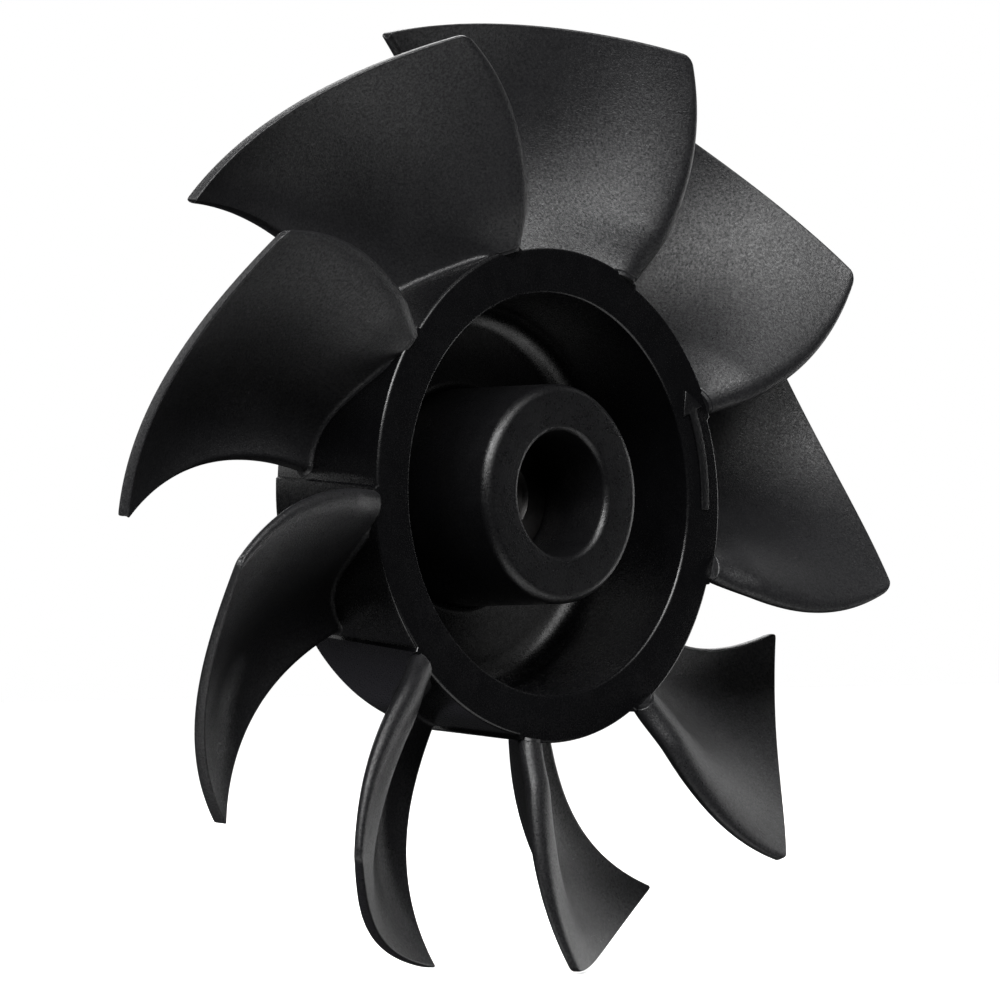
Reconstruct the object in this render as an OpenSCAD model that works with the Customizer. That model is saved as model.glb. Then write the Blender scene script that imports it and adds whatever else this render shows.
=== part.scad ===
// Blower motor wheel: an axial fan wheel with nine twisted blades on a cup-shaped hub.
// Millimetres. The wheel turns about Y, the open cup faces -Y, and Z is up. The origin is on the
// axis in the middle of the hub's length. Shapes are drawn with their axis along Z and the open
// front up, with the hub's front face at z = 0, and place() then turns them into that frame.

/* [Wheel] */
// Radius of the blade tips
tip_r = 45; // [42:0.5:50]
// Number of blades
blade_count = 9; // [7:1:10]

/* [Hub] */
// Outer radius of the hub at its front face
hub_front_r = 23.5; // [22.5:0.1:24.5]
// Outer radius of the hub at its back edge
hub_back_r = 22.2; // [21.8:0.1:22.4]
// Length of the hub along its axis
hub_len = 14.6; // [14:0.1:18]
// Radius of the mouth of the cup
mouth_r = 19; // [18:0.1:19.2]
// Thickness of the flat front ring
rim_t = 2; // [1.2:0.1:2.5]
// Rounding of the edges of the front ring
rim_edge = 0.3; // [0.1:0.05:0.4]
// Wall thickness of the drum and the cup
wall = 1.3; // [1:0.05:1.35]

/* [Cup] */
// Depth of the cup below the front face
cup_depth = 12.3; // [10:0.1:12.6]
// Radius of the cup at its floor, where the rounded corner starts
cup_floor_r = 18.5; // [17.8:0.1:18.6]
// Radius of the rounded corner between wall and floor
cup_corner = 2.6; // [1.5:0.1:3.5]
// Thickness of the cup floor
floor_t = 1.5; // [1.2:0.1:1.8]

/* [Boss] */
// Outer radius of the boss
boss_r = 10.4; // [9.8:0.1:11]
// Height of the boss above the hub's front face
boss_proud = 1.6; // [0:0.1:3]
// Radius of the bore in the boss
boss_bore_r = 5.9; // [5:0.1:6.2]
// Rounding of the outer edge of the boss
boss_edge = 1; // [0.3:0.1:1.5]
// Rounding of the mouth of the bore in the boss
bore_edge = 0.65; // [0.2:0.05:1]
// Radius of the fillet between boss and cup floor
boss_fillet = 0.8; // [0.4:0.1:1.5]

/* [Shaft bush] */
// Radius of the bore for the motor shaft
shaft_r = 3; // [2:0.25:3.5]
// Length of the bush, measured from the back of the hub
bush_len = 8.3; // [7.6:0.1:12]
// Chamfer at both ends of the shaft bore
bush_chamfer = 0.4; // [0.2:0.1:0.6]

/* [Ribs] */
// Thickness of the ribs between drum and cup wall
rib_t = 1.2; // [0.8:0.1:2]

/* [Rotation arrow] */
// Height of the raised arrow
arrow_h = 0.2; // [0.1:0.05:0.4]
// Width of the arrow's shaft
arrow_w = 1; // [0.6:0.1:1.6]
// Angles of the arrow's tail and of its tip, anticlockwise
arrow_span = [-4, 28]; // [-40:1:60]

/* [Blades] */
// Each list gives four places along the blade: root, one third, two thirds and tip
// Angle of the front edge round the axis
front_angle = [59.8, 59.2, 62, 68]; // [50:0.1:75]
// Height of the front edge above the hub's front face
front_height = [0.7, 2, 3, 3.5]; // [-2:0.1:5]
// Angle of the back edge round the axis
back_angle = [94.4, 93.3, 96.6, 102.8]; // [85:0.1:110]
// Depth of the back edge below the hub's front face
back_depth = [10.5, 11.1, 11.8, 11.4]; // [9:0.1:14]
// Hollow of the front half of the section
front_camber = [-0.8, -2.9, -2.3, 1.2]; // [-4:0.1:4]
// Hollow of the back half of the section
back_camber = [5.2, 7, 6.3, 3.4]; // [-2:0.1:8]
// Thickness near the front edge, at the root and at the tip
front_t = [2.3, 0.9]; // [0.8:0.1:3]
// Thickness near the back edge, at the root and at the tip
back_t = [1.7, 1.5]; // [0.8:0.1:3]

/* [Hidden] */

$fn = 180;
plastic = "#26262b";
plastic_rim = "#313136";
steel = "#6b6b70";

pitch = 360 / blade_count;
root_r = hub_back_r - 0.2;      // blades start inside the drum and are trimmed by its surface
rings = 13;                     // rings of points from root to tip
columns = 20;                   // points across one side of a section
trim_len = 60;                  // length of the cone that trims the blade roots
drum_taper = (hub_front_r - hub_back_r) / hub_len;
floor_z = -cup_depth;
corner_z = floor_z + cup_corner;
cup_taper = (mouth_r - cup_floor_r) / -corner_z;
corner_r = cup_floor_r - cup_corner;
arrow_r = (hub_front_r + mouth_r) / 2;

// Turns a shape drawn about Z, front up, into the wheel's frame.
module place() rotate([90, 0, 0]) translate([0, 0, hub_len / 2]) children();

// Radius of the drum's outside, of its inside, and of the cup's inside and outside, at height z.
function drum_r(z) = hub_front_r + drum_taper * z;
function drum_in_r(z) = drum_r(z) - wall;
function cup_r(z) = mouth_r + cup_taper * z;
function cup_out_r(z) = cup_r(z) + wall;

// Points of an arc about c, from angle a0 to a1.
function arc(c, r, a0, a1, n = 12) = [
    for (i = [0:n]) let (a = a0 + (a1 - a0) * i / n) [c[0] + r * cos(a), c[1] + r * sin(a)]
];

// ---- Hub ----

module front_rim_shape() {
    e = rim_edge;
    rotate_extrude() polygon(concat(
        [[cup_r(-rim_t), -rim_t], [drum_r(-rim_t), -rim_t]],
        arc([drum_r(-e) - e, -e], e, 0, 90, 6),
        arc([cup_r(-e) + e, -e], e, 90, 180, 6)
    ));
}

module hub_drum_shape() {
    rotate_extrude() polygon([
        [drum_in_r(-rim_t), -rim_t],
        [drum_r(-rim_t), -rim_t],
        [drum_r(-hub_len), -hub_len],
        [drum_in_r(-hub_len), -hub_len]
    ]);
}

module cup_wall_shape() {
    rotate_extrude() polygon([
        [cup_r(-rim_t), -rim_t],
        [cup_out_r(-rim_t), -rim_t],
        [cup_out_r(corner_z), corner_z],
        [cup_r(corner_z), corner_z]
    ]);
}

module cup_floor_shape() {
    f = boss_fillet;
    rotate_extrude() polygon(concat(
        [[boss_r, floor_z - floor_t]],
        [[corner_r, floor_z - floor_t]],
        arc([corner_r, corner_z - (floor_t - wall)], cup_corner + wall, -84, 0, 12),
        [[cup_out_r(corner_z), corner_z]],
        arc([corner_r, corner_z], cup_corner, 0, -90, 12),
        arc([boss_r + f, floor_z + f], f, 270, 180, 6)
    ));
}

module centre_boss_shape() {
    e = boss_edge;
    m = bore_edge;
    rotate_extrude() polygon(concat(
        [[boss_bore_r, -hub_len], [boss_r, -hub_len]],
        arc([boss_r - e, boss_proud - e], e, 0, 90, 8),
        arc([boss_bore_r + m, boss_proud - m], m, 90, 180, 6)
    ));
}

module shaft_bush_shape() {
    c = bush_chamfer;
    top = bush_len - hub_len;
    rotate_extrude() polygon([
        [shaft_r, -hub_len + c],
        [shaft_r + c, -hub_len],
        [boss_bore_r, -hub_len],
        [boss_bore_r, top],
        [shaft_r + c, top],
        [shaft_r, top - c]
    ]);
}

// One rib across the channel between drum and cup wall, under the root of blade k.
module rib_shape(k) {
    z0 = corner_z;
    z1 = -rim_t;
    intersection() {
        rotate_extrude() polygon([
            [cup_out_r(z1), z1],
            [drum_in_r(z1), z1],
            [drum_in_r(z0), z0],
            [cup_out_r(z0), z0]
        ]);
        rotate(pitch / 2 - pitch * (k - 1)) translate([0, -rib_t / 2, z0 - 1])
            cube([hub_front_r, rib_t, -z0 + 2]);
    }
}

// A raised curved arrow on the front ring, showing which way the wheel turns.
module rotation_arrow_shape() {
    a0 = arrow_span[0];
    a1 = arrow_span[1];
    head = 6;                   // angle taken by the arrow's head
    r_out = arrow_r + arrow_w / 2;
    r_in = arrow_r - arrow_w / 2;
    linear_extrude(arrow_h) polygon(concat(
        arc([0, 0], r_out, a0, a1 - head, 24),
        [(arrow_r + 1.4) * [cos(a1 - head), sin(a1 - head)]],
        [arrow_r * [cos(a1), sin(a1)]],
        [(arrow_r - 1.4) * [cos(a1 - head), sin(a1 - head)]],
        arc([0, 0], r_in, a1 - head, a0, 24)
    ));
}

// ---- Blades ----
// A section at radius r is laid out flat: x runs round the axis from the front edge and z runs
// along it. The centre line is a straight chord bowed by the two cambers, and the skins lie half
// a thickness to either side, with both edges rounded.

// Value at u from 0 to 1 on the smooth curve through four evenly spaced values.
function through4(v, u) =
    v[0] * (1 - 3 * u) * (2 - 3 * u) * (1 - u) / 2
    + v[1] * 9 * u * (2 - 3 * u) * (1 - u) / 2
    + v[2] * 9 * u * (3 * u - 1) * (1 - u) / 2
    + v[3] * u * (3 * u - 1) * (3 * u - 2) / 2;

function blend(v, u) = v[0] + (v[1] - v[0]) * u;

// Part of the full thickness at distance x from an edge of rounding radius e.
function edge_round(x, e) = x >= e ? 1 : sqrt(max(0, 1 - pow(1 - x / e, 2)));

// A point on one side of the blade: u is the place from root to tip, t from front to back, and
// side is 1 for the hollow front skin and -1 for the back skin.
function skin(u, t, side) =
    let (
        r = root_r + (tip_r - root_r) * u,
        run = (through4(back_angle, u) - through4(front_angle, u)) * PI / 180 * r,
        z0 = through4(front_height, u),
        drop = -through4(back_depth, u) - z0,
        chord = norm([run, drop]),
        away = [drop, -run] / chord,
        c1 = through4(front_camber, u),
        c2 = through4(back_camber, u),
        bow = 3 * t * (1 - t) * ((1 - t) * c1 + t * c2),
        bow_rate = 3 * (1 - t) * (1 - 3 * t) * c1 + 3 * t * (2 - 3 * t) * c2,
        along = [run, drop] + bow_rate * away,
        across = [-along[1], along[0]] / norm(along),
        nose = blend(front_t, u),
        tail = blend(back_t, u),
        full = blend([nose, tail], t),
        rounded = edge_round(t * chord, nose / 2) * edge_round((1 - t) * chord, tail / 4),
        p = [0, z0] + t * [run, drop] + bow * away + side * full * rounded / 2 * across,
        angle = through4(front_angle, u) + p[0] / r * 180 / PI
    )
    [r * cos(angle), r * sin(angle), p[1]];

// Columns are closer together near both edges.
function column(j) = (1 - cos(180 * j / columns)) / 2;

module blade_body() {
    loop = 2 * columns;
    points = [
        for (i = [0:rings]) each concat(
            [for (j = [0:columns]) skin(i / rings, column(j), 1)],
            [for (j = [columns - 1:-1:1]) skin(i / rings, column(j), -1)]
        )
    ];
    sides = [
        for (i = [0:rings - 1]) for (j = [0:loop - 1])
            let (a = i * loop + j, b = i * loop + (j + 1) % loop)
            each [[a, b, b + loop], [a, b + loop, a + loop]]
    ];
    // A cap joins the two skins across the section, column by column.
    cap = [
        for (j = [0:columns - 1])
            let (a = j, b = j + 1, c = (loop - j - 1) % loop, d = (loop - j) % loop)
            each (j == 0 ? [[a, c, b]] : j == columns - 1 ? [[a, d, b]] : [[a, d, c], [a, c, b]])
    ];
    last = rings * loop;
    tip_cap = [for (f = cap) [f[0] + last, f[2] + last, f[1] + last]];
    polyhedron(points, concat(sides, cap, tip_cap));
}

module blade_shape(k) {
    difference() {
        rotate(-pitch * (k - 1)) blade_body();
        translate([0, 0, -trim_len / 2])
            cylinder(h = trim_len, r1 = drum_r(-trim_len / 2), r2 = drum_r(trim_len / 2));
    }
}

// ---- Sub-parts ----

module blade(k) color(plastic) place() blade_shape(k);
module rib(k) color(plastic) place() rib_shape(k);
module hub_drum() color(plastic) place() hub_drum_shape();
module front_rim() color(plastic_rim) place() front_rim_shape();
module cup_wall() color(plastic) place() cup_wall_shape();
module cup_floor() color(plastic) place() cup_floor_shape();
module centre_boss() color(plastic_rim) place() centre_boss_shape();
module shaft_bush() color(steel) place() shaft_bush_shape();
module rotation_arrow() color(plastic_rim) place() rotation_arrow_shape();

for (k = [1:blade_count]) {
    blade(k);
    rib(k);
}
hub_drum();
front_rim();
cup_wall();
cup_floor();
centre_boss();
shaft_bush();
rotation_arrow();
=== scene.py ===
import math

import bmesh
import bpy
import numpy as np
from mathutils import Matrix, Vector


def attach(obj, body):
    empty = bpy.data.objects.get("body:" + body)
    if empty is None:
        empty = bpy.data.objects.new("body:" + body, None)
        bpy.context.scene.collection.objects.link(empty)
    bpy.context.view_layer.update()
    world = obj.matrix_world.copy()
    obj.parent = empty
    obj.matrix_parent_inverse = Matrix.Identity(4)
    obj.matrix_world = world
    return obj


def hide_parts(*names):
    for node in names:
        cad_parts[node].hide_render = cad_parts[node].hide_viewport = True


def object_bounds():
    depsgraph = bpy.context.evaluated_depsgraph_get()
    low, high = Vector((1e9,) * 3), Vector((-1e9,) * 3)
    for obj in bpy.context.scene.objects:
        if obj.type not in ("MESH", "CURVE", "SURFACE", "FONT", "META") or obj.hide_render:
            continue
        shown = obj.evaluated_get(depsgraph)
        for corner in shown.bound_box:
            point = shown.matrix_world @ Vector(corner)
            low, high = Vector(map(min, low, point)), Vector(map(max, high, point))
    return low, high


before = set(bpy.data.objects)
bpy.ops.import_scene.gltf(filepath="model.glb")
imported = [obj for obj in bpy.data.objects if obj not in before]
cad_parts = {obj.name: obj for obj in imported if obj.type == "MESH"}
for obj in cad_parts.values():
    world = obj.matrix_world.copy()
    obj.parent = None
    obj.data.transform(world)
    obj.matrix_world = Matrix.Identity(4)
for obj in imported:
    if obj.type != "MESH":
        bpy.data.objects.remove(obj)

cad_low, cad_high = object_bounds()
scene = bpy.context.scene
scene.view_settings.view_transform = "Standard"

MM = 0.001

# ---- Sizes, in millimetres. s is the height above the hub's front face, which looks along -Y ----
BLADES = 9
PITCH = 360 / BLADES
HUB_LEN = 14.6
HUB_MID = HUB_LEN / 2
FRONT_R = 23.5
BACK_R = 22.2
WALL = 1.3
MOUTH_R = 19.0
RIM_T = 2.0
CUP_DEPTH = 12.3
CUP_FLOOR_R = 18.5
CUP_CORNER = 2.6
FLOOR_T = 1.5
BOSS_R = 10.4
BOSS_PROUD = 1.6
BORE_R = 5.9
BOSS_EDGE = 1.0
BORE_EDGE = 0.65
BOSS_FILLET = 0.8
SHAFT_R = 3.0
BUSH_LEN = 8.3
BUSH_CHAMFER = 0.4
PIN_RING = 13.2
PIN_R = 1.7
PIN_DEPTH = 0.15
PIN_PITCH = 60  # degrees
RIB_BEVEL = 0.12
ARROW_BEVEL = 0.07
DRUM_SIDES = 720
HUB_SIDES = 540
BUSH_SIDES = 240

# The mould has one slide for each gap between blades. Their edges leave parting lines on the drum.
PARTING_ANGLE = 58.4  # where the first line lies, in degrees
PARTING_DEPTH = 0.6  # at this depth behind the front face
PARTING_SKEW = 0.236  # degrees for each mm of s
PARTING_STEP = 0.4
PARTING_WIDTH = 0.012  # share of a pitch
PARTING_SINK = 0.07  # how far the stepped surface lies inside the cone, on average
DRUM_SKIN = 0.7  # points nearer to the cone than this belong to the outside

# ---- Blade sizes. Lists run from the root to the tip ----
TIP_R = 45.0
ROOT_R = 22.0
CHORD = 21.0  # rough width of a blade, from front edge to back edge
NOSE_REACH = 2.3  # how far the front skin's rounding reaches at the root
NOSE_REACH_FALL = 1.5  # how much less at the tip
NOSE_SWELL = 0.2
NOSE_SWELL_REACH = 3.5
FRONT_CORNER = 0.6
BACK_CORNER = 0.5
ROOT_FILLET = 0.45
TIP_EDGE = 0.22
END_EDGE = 0.12
RIM_OVERLAP = 0.15  # how deep a blade's end sits in the ring
FLASH = 0.02  # the mould's parting line stands proud along the middle of the front edge
FLASH_END_R = 43.5
NOSE_DROP = 0.78  # how far the front edge is lowered at its root, to end flush with the ring
NOSE_DROP_SPAN = 5  # the drop fades out over this height above the drum
NOSE_DROP_DEPTH = 8  # and reaches this far behind the front face

FRONT_ANGLE = (59.8, 59.2, 62.0, 68.0)
FRONT_HEIGHT = (0.7, 2.0, 3.0, 3.5)
BACK_ANGLE = (94.4, 93.3, 96.6, 102.8)
BACK_DEPTH = (10.5, 11.1, 11.8, 11.4)
FRONT_CAMBER = (-0.8, -2.9, -2.3, 1.2)
BACK_CAMBER = (5.2, 7.0, 6.3, 3.4)
FRONT_T = (2.3, 0.9)
BACK_T = (1.7, 1.5)


# ---- Stage: camera, floor, lights ----

CAMERA_TURN = 45.869
CAMERA_TILT = 1.480
CAMERA_LENS = 311.55
HUB_SEEN_AT = (4.842, 0.548, -817.176)  # the front of the hub from the camera, in mm: right, up, back
ROOM_LIGHT = 0.022
FLOOR_RADIUS = 6.0
FLOOR_GAP = 0.0003


def make_camera():
    """The photograph's camera, turned to the left of the wheel's axis and tilted a little."""
    turn = math.radians(CAMERA_TURN)
    tilt = math.radians(CAMERA_TILT)
    level = Matrix.Rotation(-turn, 4, "Z") @ Matrix.Rotation(math.pi / 2, 4, "X")
    rotation = Matrix.Rotation(tilt, 4, "X") @ level
    front_centre = Vector((0, -HUB_MID, 0)) * MM
    seen_at = Vector(HUB_SEEN_AT) * MM
    data = bpy.data.cameras.new("camera")
    data.lens = CAMERA_LENS
    data.sensor_width = 36
    data.clip_start = 0.05
    data.clip_end = 50
    camera = bpy.data.objects.new("camera", data)
    scene.collection.objects.link(camera)
    camera.matrix_world = Matrix.Translation(front_centre - rotation.to_3x3() @ seen_at) @ rotation
    scene.camera = camera


def make_world():
    """White to the camera; a dim, even room to everything else."""
    world = bpy.data.worlds.new("room")
    scene.world = world
    world.use_nodes = True
    nt = world.node_tree
    nt.nodes.clear()
    out = nt.nodes.new("ShaderNodeOutputWorld")
    mix = nt.nodes.new("ShaderNodeMixShader")
    path = nt.nodes.new("ShaderNodeLightPath")
    seen = nt.nodes.new("ShaderNodeBackground")
    seen.inputs["Color"].default_value = (1, 1, 1, 1)
    seen.inputs["Strength"].default_value = 1.0
    room = nt.nodes.new("ShaderNodeBackground")
    room.inputs["Color"].default_value = (0.95, 0.96, 1.0, 1)
    room.inputs["Strength"].default_value = ROOM_LIGHT
    nt.links.new(path.outputs["Is Camera Ray"], mix.inputs[0])
    nt.links.new(room.outputs[0], mix.inputs[1])
    nt.links.new(seen.outputs[0], mix.inputs[2])
    nt.links.new(mix.outputs[0], out.inputs["Surface"])


def make_floor():
    """A plain pale floor under the lowest blade tips."""
    rings, sides = 24, 96
    radii = np.linspace(0, 1, rings + 1)[1:] ** 2 * FLOOR_RADIUS
    verts = [(0.0, 0.0, 0.0)]
    for r in radii:
        for k in range(sides):
            a = 2 * math.pi * k / sides
            verts.append((r * math.cos(a), r * math.sin(a), 0.0))
    faces = [(0, 1 + k, 1 + (k + 1) % sides) for k in range(sides)]
    for i in range(rings - 1):
        for k in range(sides):
            a, b = 1 + i * sides + k, 1 + i * sides + (k + 1) % sides
            faces.append((a, a + sides, b + sides, b))
    mesh = bpy.data.meshes.new("floor")
    mesh.from_pydata(verts, [], faces)
    floor = bpy.data.objects.new("floor", mesh)
    floor.location = (0, 0, cad_low.z - FLOOR_GAP)
    scene.collection.objects.link(floor)
    material = bpy.data.materials.new("floor_paper")
    material.use_nodes = True
    nt = material.node_tree
    shader = nt.nodes["Principled BSDF"]
    shader.inputs["Roughness"].default_value = 0.9
    shader.inputs["Specular IOR Level"].default_value = 0.0
    noise = nt.nodes.new("ShaderNodeTexNoise")
    noise.inputs["Scale"].default_value = 3.0
    ramp = nt.nodes.new("ShaderNodeValToRGB")
    ramp.color_ramp.elements[0].color = (0.80, 0.80, 0.80, 1)
    ramp.color_ramp.elements[1].color = (0.84, 0.84, 0.84, 1)
    nt.links.new(noise.outputs["Fac"], ramp.inputs["Fac"])
    nt.links.new(ramp.outputs["Color"], shader.inputs["Base Color"])
    mesh.materials.append(material)
    floor.visible_glossy = False
    floor.visible_diffuse = False
    floor.visible_shadow = False
    return floor


def light_floor(floor):
    """A broad overhead light that only the floor receives, so the floor reads as white paper."""
    data = bpy.data.lights.new("floor_light", "SUN")
    data.energy = 4.2
    data.angle = math.radians(120)
    data.use_shadow = False
    lamp = bpy.data.objects.new("floor_light", data)
    scene.collection.objects.link(lamp)
    receivers = bpy.data.collections.new("floor_only")
    receivers.objects.link(floor)
    lamp.light_linking.receiver_collection = receivers


def soft_light(name, azimuth, elevation, size, power, colour=(1, 1, 1)):
    """A square soft box 1 m away, aimed at the wheel. Azimuth 0 is in front of the cup, 90 towards +X."""
    a, e = math.radians(azimuth), math.radians(elevation)
    place = Vector((math.sin(a) * math.cos(e), -math.cos(a) * math.cos(e), math.sin(e)))
    data = bpy.data.lights.new(name, "AREA")
    data.shape = "SQUARE"
    data.size = size
    data.energy = power
    data.color = colour
    lamp = bpy.data.objects.new(name, data)
    lamp.location = place
    lamp.rotation_mode = "QUATERNION"
    lamp.rotation_quaternion = (-place).to_track_quat("-Z", "Y")
    lamp.visible_camera = False
    scene.collection.objects.link(lamp)


# ---- Materials ----

GRAIN_SIZE = 0.17


def moulded_plastic(name, base, rough, grain, sparkle, glint):
    """Black moulded plastic: faint mottling, a spark-eroded grain, and slow waves in the gloss.

    grain is the grain's height in mm. sparkle and glint say how far it varies the roughness and
    the share of light sent back.
    """
    material = bpy.data.materials.new(name)
    material.use_nodes = True
    nt = material.node_tree
    shader = nt.nodes["Principled BSDF"]
    shader.inputs["IOR"].default_value = 1.5
    where = nt.nodes.new("ShaderNodeTexCoord").outputs["Object"]

    def noise(size, detail, roughness):
        n = nt.nodes.new("ShaderNodeTexNoise")
        n.inputs["Scale"].default_value = 1 / (size * MM)
        n.inputs["Detail"].default_value = detail
        n.inputs["Roughness"].default_value = roughness
        nt.links.new(where, n.inputs["Vector"])
        return n.outputs["Fac"]

    def ramp(source, low, high, start=0.3, end=0.7):
        r = nt.nodes.new("ShaderNodeMapRange")
        r.inputs["From Min"].default_value = start
        r.inputs["From Max"].default_value = end
        r.inputs["To Min"].default_value = low
        r.inputs["To Max"].default_value = high
        nt.links.new(source, r.inputs["Value"])
        return r.outputs["Result"]

    colour = nt.nodes.new("ShaderNodeMix")
    colour.data_type = "RGBA"
    colour.inputs[6].default_value = (*[c * 0.7 for c in base], 1)
    colour.inputs[7].default_value = (*[c * 1.3 for c in base], 1)
    nt.links.new(noise(3.0, 3, 0.6), colour.inputs[0])
    nt.links.new(colour.outputs[2], shader.inputs["Base Color"])

    speckle = nt.nodes.new("ShaderNodeMath")
    speckle.operation = "ADD"
    nt.links.new(ramp(noise(1.6, 4, 0.6), rough - 0.03, rough + 0.03), speckle.inputs[0])
    nt.links.new(ramp(noise(GRAIN_SIZE * 1.3, 2, 0.6), -sparkle, sparkle), speckle.inputs[1])
    nt.links.new(speckle.outputs[0], shader.inputs["Roughness"])

    # The pits of the grain send less light back than the flats between them.
    shine = ramp(noise(GRAIN_SIZE * 1.5, 2, 0.7), 0.5 - glint, 0.5 + glint)
    nt.links.new(shine, shader.inputs["Specular IOR Level"])

    coarse = nt.nodes.new("ShaderNodeBump")
    coarse.inputs["Strength"].default_value = 1.0
    coarse.inputs["Distance"].default_value = 0.008 * MM
    nt.links.new(noise(1.4, 2, 0.5), coarse.inputs["Height"])
    fine = nt.nodes.new("ShaderNodeBump")
    fine.inputs["Strength"].default_value = 1.0
    fine.inputs["Distance"].default_value = grain * MM
    nt.links.new(noise(GRAIN_SIZE, 3, 0.75), fine.inputs["Height"])
    nt.links.new(coarse.outputs["Normal"], fine.inputs["Normal"])
    nt.links.new(fine.outputs["Normal"], shader.inputs["Normal"])
    return material


def shaded_steel(name):
    """Oiled sintered steel with a fine speckle. Its near-black tint is partly the oiled steel and partly
    painted shade, as dark as the shade deep in the bore.
    """
    material = bpy.data.materials.new(name)
    material.use_nodes = True
    nt = material.node_tree
    shader = nt.nodes["Principled BSDF"]
    shader.inputs["Metallic"].default_value = 1.0
    where = nt.nodes.new("ShaderNodeTexCoord").outputs["Object"]
    noise = nt.nodes.new("ShaderNodeTexNoise")
    noise.inputs["Scale"].default_value = 1 / (0.4 * MM)
    noise.inputs["Detail"].default_value = 4
    nt.links.new(where, noise.inputs["Vector"])
    # Near-black tint: painted shade, far darker than oiled steel itself.
    bore_shade_tint = nt.nodes.new("ShaderNodeValToRGB")
    bore_shade_tint.color_ramp.elements[0].color = (0.035, 0.034, 0.034, 1)
    bore_shade_tint.color_ramp.elements[1].color = (0.075, 0.073, 0.072, 1)
    nt.links.new(noise.outputs["Fac"], bore_shade_tint.inputs["Fac"])
    nt.links.new(bore_shade_tint.outputs["Color"], shader.inputs["Base Color"])
    rough = nt.nodes.new("ShaderNodeMapRange")
    rough.inputs["To Min"].default_value = 0.35
    rough.inputs["To Max"].default_value = 0.55
    nt.links.new(noise.outputs["Fac"], rough.inputs["Value"])
    nt.links.new(rough.outputs["Result"], shader.inputs["Roughness"])
    bump = nt.nodes.new("ShaderNodeBump")
    bump.inputs["Distance"].default_value = 0.01 * MM
    nt.links.new(noise.outputs["Fac"], bump.inputs["Height"])
    nt.links.new(bump.outputs["Normal"], shader.inputs["Normal"])
    return material


# ---- Mesh helpers ----

SHARP_ANGLE = 32


def to_frame(r, angle, s):
    """Points from radius, angle in degrees and height above the front face, in metres."""
    a = np.radians(angle)
    return np.stack([r * np.cos(a), -(s + HUB_MID), r * np.sin(a)], -1) * MM


def place(name, mesh, material, node_name, slot):
    """Shade a mesh and put it on the wheel in place of a CAD node."""
    mesh.shade_smooth()
    mesh.set_sharp_from_angle(angle=math.radians(SHARP_ANGLE))
    mesh.materials.append(material)
    obj = bpy.data.objects.new(name, mesh)
    scene.collection.objects.link(obj)
    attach(obj, "root")
    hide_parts(node_name)


def add_piece(name, points, faces, material, node_name, slot):
    """A piece made from points and faces."""
    mesh = bpy.data.meshes.new(name)
    mesh.from_pydata([tuple(p) for p in points.reshape(-1, 3)], [], faces)
    mesh.update()
    mesh.validate()
    place(name, mesh, material, node_name, slot)


def revolve(name, profile, material, node_name, slot, sides, reshape=None):
    """A closed profile of (r, s) turned about the axis. reshape(r, angle, s) may move the points."""
    profile = np.asarray(profile, float)
    count = len(profile)
    angle = np.arange(sides) * 360 / sides
    r = np.broadcast_to(profile[None, :, 0], (sides, count))
    s = np.broadcast_to(profile[None, :, 1], (sides, count))
    a = np.broadcast_to(angle[:, None], (sides, count))
    if reshape:
        r, a, s = reshape(r, a, s)
    points = to_frame(r, a, s)
    faces = []
    for i in range(sides):
        p, q = i * count, (i + 1) % sides * count
        for j in range(count):
            k = (j + 1) % count
            faces.append((p + j, p + k, q + k, q + j))
    add_piece(name, points, faces, material, node_name, slot)


def arc(centre, radius, start, end, n=8):
    """Points of an arc in the (r, s) plane."""
    turn = np.radians(np.linspace(start, end, n + 1))
    return [(centre[0] + radius * math.cos(t), centre[1] + radius * math.sin(t)) for t in turn]


def line(a, b, n):
    """n points from a towards b, b left out."""
    return [(a[0] + (b[0] - a[0]) * i / n, a[1] + (b[1] - a[1]) * i / n) for i in range(n)]


def smooth(x):
    """Rises smoothly from 0 to 1 as x does."""
    x = np.clip(x, 0, 1)
    return x * x * (3 - 2 * x)


def soften(name, node_name, width, material, slot):
    """A copy of a plain CAD solid with rounded edges, which replaces it."""
    bm = bmesh.new()
    bm.from_mesh(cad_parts[node_name].data)
    bmesh.ops.remove_doubles(bm, verts=bm.verts, dist=1e-7)
    bmesh.ops.dissolve_limit(bm, angle_limit=math.radians(0.5), verts=bm.verts, edges=bm.edges)
    edges = [e for e in bm.edges if len(e.link_faces) == 2 and e.calc_face_angle() > math.radians(20)]
    bmesh.ops.bevel(
        bm, geom=edges, offset=width * MM, segments=3, profile=0.5, affect="EDGES", clamp_overlap=True
    )
    bmesh.ops.triangulate(bm, faces=[f for f in bm.faces if len(f.verts) > 4])
    mesh = bpy.data.meshes.new(name)
    bm.to_mesh(mesh)
    bm.free()
    place(name, mesh, material, node_name, slot)


# ---- Hub ----

def drum_r(s):
    """Radius of the cone that the drum's outside follows."""
    return FRONT_R + (FRONT_R - BACK_R) / HUB_LEN * s


def cup_r(s):
    """Radius of the cup's side."""
    return MOUTH_R + (MOUTH_R - CUP_FLOOR_R) / (CUP_DEPTH - CUP_CORNER) * s


def parting_line(s):
    """The angle of the first parting line, in degrees."""
    return PARTING_ANGLE + (s + PARTING_DEPTH) * PARTING_SKEW


def sector_step(angle, s):
    """How far the drum's outside stands off its cone: it steps at nine parting lines."""
    phase = np.mod(angle - parting_line(s), PITCH) / PITCH
    rise = 0.5 - phase
    edge = PARTING_WIDTH
    rise = np.where(phase > 1 - edge, -0.5 + (phase - 1 + edge) / edge, rise)
    fade = 1 - 0.5 * np.clip(-s / HUB_LEN, 0, 1)
    return PARTING_STEP * fade * rise - PARTING_SINK


def drum_surface(angle, s):
    return drum_r(s) + sector_step(angle, s)


# ---- Blades ----

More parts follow.
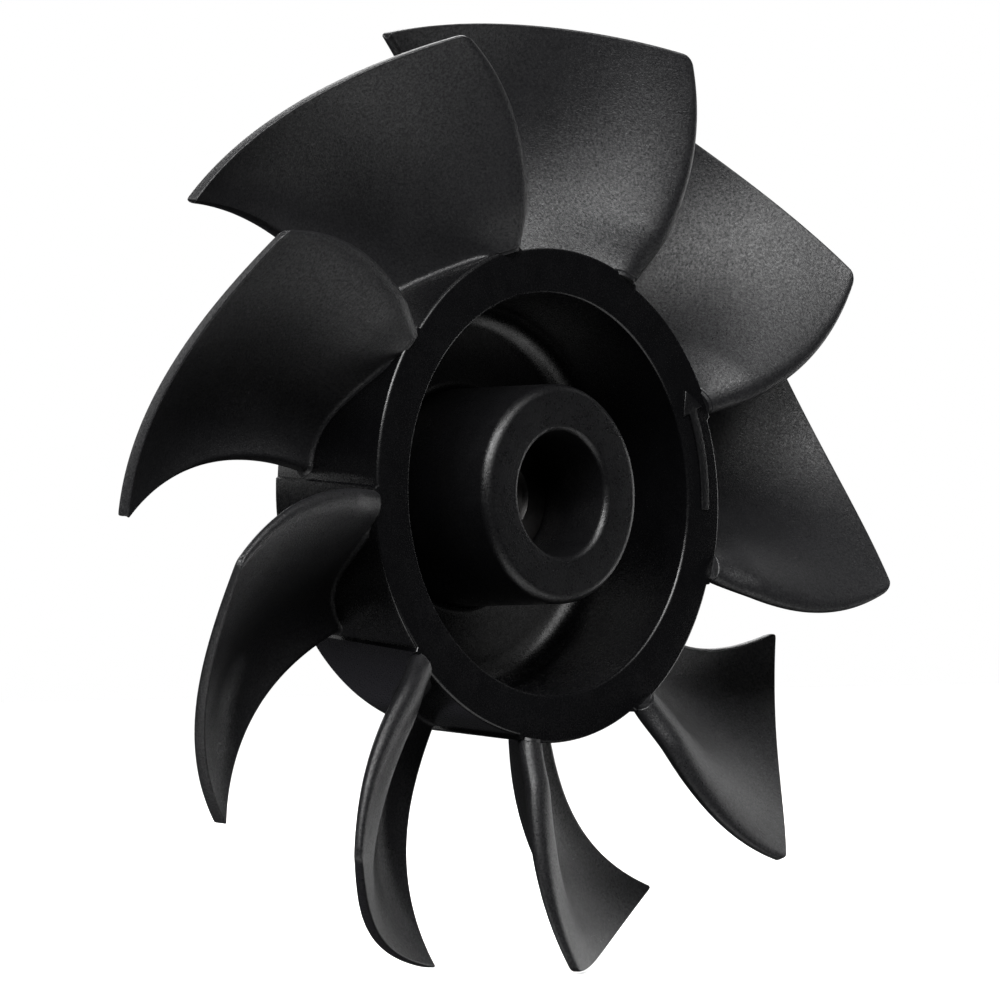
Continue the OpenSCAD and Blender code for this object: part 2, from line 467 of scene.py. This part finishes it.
def through4(v, u):
    """The smooth curve through four evenly spaced values."""
    return (
        v[0] * (1 - 3 * u) * (2 - 3 * u) * (1 - u) / 2
        + v[1] * 9 * u * (2 - 3 * u) * (1 - u) / 2
        + v[2] * 9 * u * (3 * u - 1) * (1 - u) / 2
        + v[3] * u * (3 * u - 1) * (3 * u - 2) / 2
    )


def edge_round(x, e):
    """Rises from 0 to 1 over the distance e, like a quarter of a circle."""
    return np.sqrt(np.clip(1 - (1 - np.clip(x / e, 0, 1)) ** 2, 0, 1))


def corner_cut(d, radius):
    """How far a rounded corner has drawn in at distance d from the edge."""
    inside = np.clip(radius - d, 0, radius)
    return radius - np.sqrt(radius**2 - inside**2)


def section(r, t, side):
    """The blade's section at radius r, laid out flat.

    t runs from the front edge to the back edge. side is 1 on the front skin and -1 on the back skin.
    Returns the distance round from the front edge, s, and the front edge's angle.
    """
    u = (r - ROOT_R) / (TIP_R - ROOT_R)
    run = np.radians(through4(BACK_ANGLE, u) - through4(FRONT_ANGLE, u)) * r
    z0 = through4(FRONT_HEIGHT, u)
    drop = -through4(BACK_DEPTH, u) - z0
    chord = np.hypot(run, drop)
    away = drop / chord, -run / chord
    c1, c2 = through4(FRONT_CAMBER, u), through4(BACK_CAMBER, u)
    bow = 3 * t * (1 - t) * ((1 - t) * c1 + t * c2)
    rate = 3 * (1 - t) * (1 - 3 * t) * c1 + 3 * t * (2 - 3 * t) * c2
    along = run + rate * away[0], drop + rate * away[1]
    length = np.hypot(*along)
    nose = FRONT_T[0] + (FRONT_T[1] - FRONT_T[0]) * u
    tail = BACK_T[0] + (BACK_T[1] - BACK_T[0]) * u
    full = nose + (tail - nose) * t
    # The front skin turns into the nose over a longer way than the back skin.
    reach = np.where(side > 0, NOSE_REACH - NOSE_REACH_FALL * u, nose / 2)
    bulge = NOSE_SWELL * (1 - u) * np.exp(-((t * chord / NOSE_SWELL_REACH) ** 2))
    swell = np.where(side > 0, 1 + bulge, 1)
    half = side * swell * full * edge_round(t * chord, reach) * edge_round((1 - t) * chord, tail / 4) / 2
    x = t * run + bow * away[0] - half * along[1] / length
    s = z0 + t * drop + bow * away[1] + half * along[0] / length
    return x, s, through4(FRONT_ANGLE, u)


def blade_rings():
    """Where the rings lie: heights above the drum, shares of the free span, depths below the tip."""
    fillet = [-0.3, 0, 0.01, 0.03, 0.06, 0.1, 0.15, 0.21, 0.28, 0.36, 0.45, 0.7, 1.0]
    rest = np.linspace(0, 1, 62)[1:-1]
    tip = [0.3, 0.25, 0.19, 0.13, 0.08, 0.04, 0.015, 0.0]
    return fillet, rest, tip


def make_blade(k, material):
    """Blade k, counted clockwise from the top: rings of section points from the drum to the tip."""
    columns = 60
    t = (1 - np.cos(np.pi * np.arange(columns + 1) / columns)) / 2
    t = np.concatenate([t, t[-2:0:-1]])
    side = np.concatenate([np.ones(columns + 1), -np.ones(columns - 1)])
    fillet, rest, tip = blade_rings()

    def base_radius(angle, s):
        over = smooth((s + 0.25) / 0.4)
        return drum_surface(angle, s) - RIM_OVERLAP * over

    def ring(height):
        """One ring of section points at a height above the drum."""
        r = np.full(len(t), FRONT_R)
        for _ in range(6):
            x, s, front = section(r, t, side)
            r = base_radius(front + np.degrees(x / r), s) + height
        x, s, front = section(r, t, side)
        return r, x, s, front

    top = ring(fillet[-1])[0]
    tip_r = TIP_R - corner_cut(t * CHORD, FRONT_CORNER) - corner_cut((1 - t) * CHORD, BACK_CORNER)
    away = 9.0  # far enough from an end for its edge to play no part
    rings = []
    for h in fillet:
        r, x, s, front = ring(h)
        rings.append((r, x, s, front, h, away))
    for w in rest:
        r = top + (tip_r - tip[0] - top) * w
        x, s, front = section(r, t, side)
        rings.append((r, x, s, front, away, away))
    for d in tip:
        r = tip_r - d
        x, s, front = section(r, t, side)
        rings.append((r, x, s, front, away, d))

    points = []
    for r, x, s, front, height, from_tip in rings:
        dx = np.roll(x, -1) - np.roll(x, 1)
        ds = np.roll(s, -1) - np.roll(s, 1)
        length = np.hypot(dx, ds)
        nx, ns = -ds / length, dx / length
        h = max(height, 0)
        # Over the drum the root flares into a fillet. Over the ring its end has a small rounded edge.
        grow = corner_cut(h, ROOT_FILLET) * smooth((-0.1 - s) / 0.9)
        grow = grow - corner_cut(h, END_EDGE) * smooth(s / 0.4)
        grow = grow - corner_cut(from_tip, TIP_EDGE)
        grow[0] += FLASH * smooth((FLASH_END_R - r[0]) / 4)
        x = x + nx * grow
        s = s + ns * grow
        near_drum = smooth(1 - (r - FRONT_R) / NOSE_DROP_SPAN)
        s = s - NOSE_DROP * near_drum * smooth((s + NOSE_DROP_DEPTH) / (NOSE_DROP_DEPTH + 1))
        points.append(to_frame(r, front + np.degrees(x / r) - PITCH * (k - 1), s))
    loop = len(t)
    count = len(points)
    faces = []
    for i in range(count - 1):
        for j in range(loop):
            a, b = i * loop + j, i * loop + (j + 1) % loop
            faces.append((a, a + loop, b + loop, b))
    last = (count - 1) * loop
    for j in range(columns):
        a, b, c, d = j, j + 1, (loop - j - 1) % loop, (loop - j) % loop
        quad = (a, b, c) if a == d else (a, b, d) if b == c else (a, b, c, d)
        faces.append(quad)
        faces.append(tuple(last + v for v in reversed(quad)))
    add_piece(f"blade_shell_{k}", np.array(points), faces, material, f"blade_{k}", "blade_plastic")


def make_hub(material, shaded_boss_material):
    """Ring, drum, cup wall, cup floor and boss, each a closed profile turned about the axis."""
    corner_s = -CUP_DEPTH + CUP_CORNER
    floor_s = -CUP_DEPTH
    corner_r = CUP_FLOOR_R - CUP_CORNER

    def skewed(r, a, s):
        """Rows of points follow the parting lines, and the outside steps there."""
        a = a + parting_line(s)
        outside = r > drum_r(s) - DRUM_SKIN
        return np.where(outside, r + sector_step(a, s), r), a, s

    e = 0.3
    rim = (
        line((cup_r(-RIM_T), -RIM_T), (drum_r(-RIM_T), -RIM_T), 3)
        + line((drum_r(-RIM_T), -RIM_T), (drum_r(-e), -e), 4)
        + arc((drum_r(-e) - e, -e), e, 0, 90, 8)
        + arc((cup_r(-e) + e, -e), e, 90, 180, 8)
    )
    revolve("rim_ring", rim, material, "front_rim", "hub_plastic", DRUM_SIDES, skewed)
    e = 0.25
    back = -HUB_LEN
    drum = (
        line((drum_r(-RIM_T) - WALL, -RIM_T), (drum_r(-RIM_T), -RIM_T), 2)
        + line((drum_r(-RIM_T), -RIM_T), (drum_r(back + e), back + e), 16)
        + arc((drum_r(back + e) - e, back + e), e, 0, -90, 6)
        + arc((drum_r(back + e) - WALL + e, back + e), e, -90, -180, 6)
    )
    revolve("drum_wall", drum, material, "hub_drum", "hub_plastic", DRUM_SIDES, skewed)
    cup = (
        line((cup_r(-RIM_T), -RIM_T), (cup_r(-RIM_T) + WALL, -RIM_T), 2)
        + line((cup_r(-RIM_T) + WALL, -RIM_T), (cup_r(corner_s) + WALL, corner_s), 4)
        + line((cup_r(corner_s) + WALL, corner_s), (cup_r(corner_s), corner_s), 2)
        + line((cup_r(corner_s), corner_s), (cup_r(-RIM_T), -RIM_T), 8)
    )
    revolve("cup_lining", cup, material, "cup_wall", "hub_plastic", HUB_SIDES)
    f = BOSS_FILLET

    def pin_marked(r, a, s):
        """Six ejector pins left shallow round marks on the back of the floor."""
        turn = np.radians(np.mod(a + PIN_PITCH / 2 + 10, PIN_PITCH) - PIN_PITCH / 2)
        off = np.hypot(r * np.cos(turn) - PIN_RING, r * np.sin(turn))
        behind = s < floor_s - FLOOR_T + 0.01
        return r, a, np.where(behind, s + PIN_DEPTH * smooth((PIN_R - off) / 0.3), s)

    floor = (
        line((BOSS_R, floor_s - FLOOR_T), (corner_r, floor_s - FLOOR_T), 48)
        + arc((corner_r, corner_s - (FLOOR_T - WALL)), CUP_CORNER + WALL, -90, 0, 14)
        + [(CUP_FLOOR_R + WALL, corner_s)]
        + arc((corner_r, corner_s), CUP_CORNER, 0, -90, 20)
        + line((corner_r - 0.3, floor_s), (BOSS_R + f + 0.2, floor_s), 4)
        + arc((BOSS_R + f, floor_s + f), f, 270, 180, 8)
    )
    revolve("cup_base", floor, material, "cup_floor", "hub_plastic", HUB_SIDES, pin_marked)
    e, m = BOSS_EDGE, BORE_EDGE
    boss = (
        [(BORE_R, -HUB_LEN + 0.2), (BORE_R + 0.06, -HUB_LEN + 0.06), (BORE_R + 0.2, -HUB_LEN)]
        + arc((BOSS_R - 0.3, -HUB_LEN + 0.3), 0.3, -90, 0, 5)
        + arc((BOSS_R - e, BOSS_PROUD - e), e, 0, 90, 14)
        + arc((BORE_R + m, BOSS_PROUD - m), m, 90, 180, 10)
    )
    revolve("boss_tube", boss, shaded_boss_material, "centre_boss", "hub_plastic", HUB_SIDES)


def make_bush(material):
    """The metal sleeve in the boss, chamfered where the shaft goes in."""
    c = BUSH_CHAMFER
    top = BUSH_LEN - HUB_LEN
    back = -HUB_LEN
    bush = [
        (SHAFT_R, back + c), (SHAFT_R + c * 0.5, back + c * 0.45), (SHAFT_R + c, back),
        (BORE_R - 0.15, back), (BORE_R - 0.04, back + 0.04), (BORE_R, back + 0.15),
        (BORE_R, top - 0.3), (BORE_R - 0.09, top - 0.09), (BORE_R - 0.3, top),
        (SHAFT_R + c, top), (SHAFT_R + c * 0.45, top - c * 0.45), (SHAFT_R, top - c),
    ]
    revolve("bush_sleeve", bush, material, "shaft_bush", "bush_steel", BUSH_SIDES)


make_camera()
make_world()
floor = make_floor()
light_floor(floor)

# Azimuth and elevation in degrees, size in metres, power in watts
soft_light("key", -33, 42, 0.45, 7.6)
soft_light("key_left", -70, 41, 0.36, 6.5)
soft_light("key_right", 2, 41, 0.4, 2.0)
soft_light("left", -98, 41, 0.5, 3.0)
soft_light("right_high", 98, 22, 0.45, 0.55)
soft_light("right", 87, -6, 0.4, 1.35)
soft_light("right_back", 118, 3, 0.4, 0.4)
soft_light("below_right", 36, -42, 0.5, 0.9)
soft_light("below", -5, -64, 0.7, 1.8)
soft_light("below_left", -122, -42, 0.5, 2.2)
soft_light("behind_low", 165, -38, 0.5, 0.06, (0.85, 0.82, 1.0))
soft_light("behind_right", 142, 30, 0.6, 3.6)
soft_light("behind_left", -155, 25, 0.6, 2.0)
soft_light("front", 24, 24, 0.35, 0.15)

# The hub and boss are the same black plastic as the blades. Their darker base colours are painted shade,
# which darkens the cup, the boss and the rest of the hub.
blade_plastic = moulded_plastic(
    "blade_plastic", (0.011, 0.011, 0.012), rough=0.36, grain=0.045, sparkle=0.09, glint=0.27
)
hub_plastic = moulded_plastic(
    "hub_plastic", (0.002, 0.002, 0.0024), rough=0.27, grain=0.012, sparkle=0.045, glint=0.12
)
shaded_boss_plastic = moulded_plastic(
    "shaded_boss_plastic", (0.004, 0.004, 0.0045), rough=0.32, grain=0.03, sparkle=0.06, glint=0.15
)
bush_steel = shaded_steel("bush_steel")

for k in range(1, BLADES + 1):
    make_blade(k, blade_plastic)
make_hub(hub_plastic, shaded_boss_plastic)
make_bush(bush_steel)
for k in range(1, BLADES + 1):
    soften(f"rib_bar_{k}", f"rib_{k}", RIB_BEVEL, hub_plastic, "hub_plastic")
soften("arrow_mark", "rotation_arrow", ARROW_BEVEL, shaded_boss_plastic, "hub_plastic")
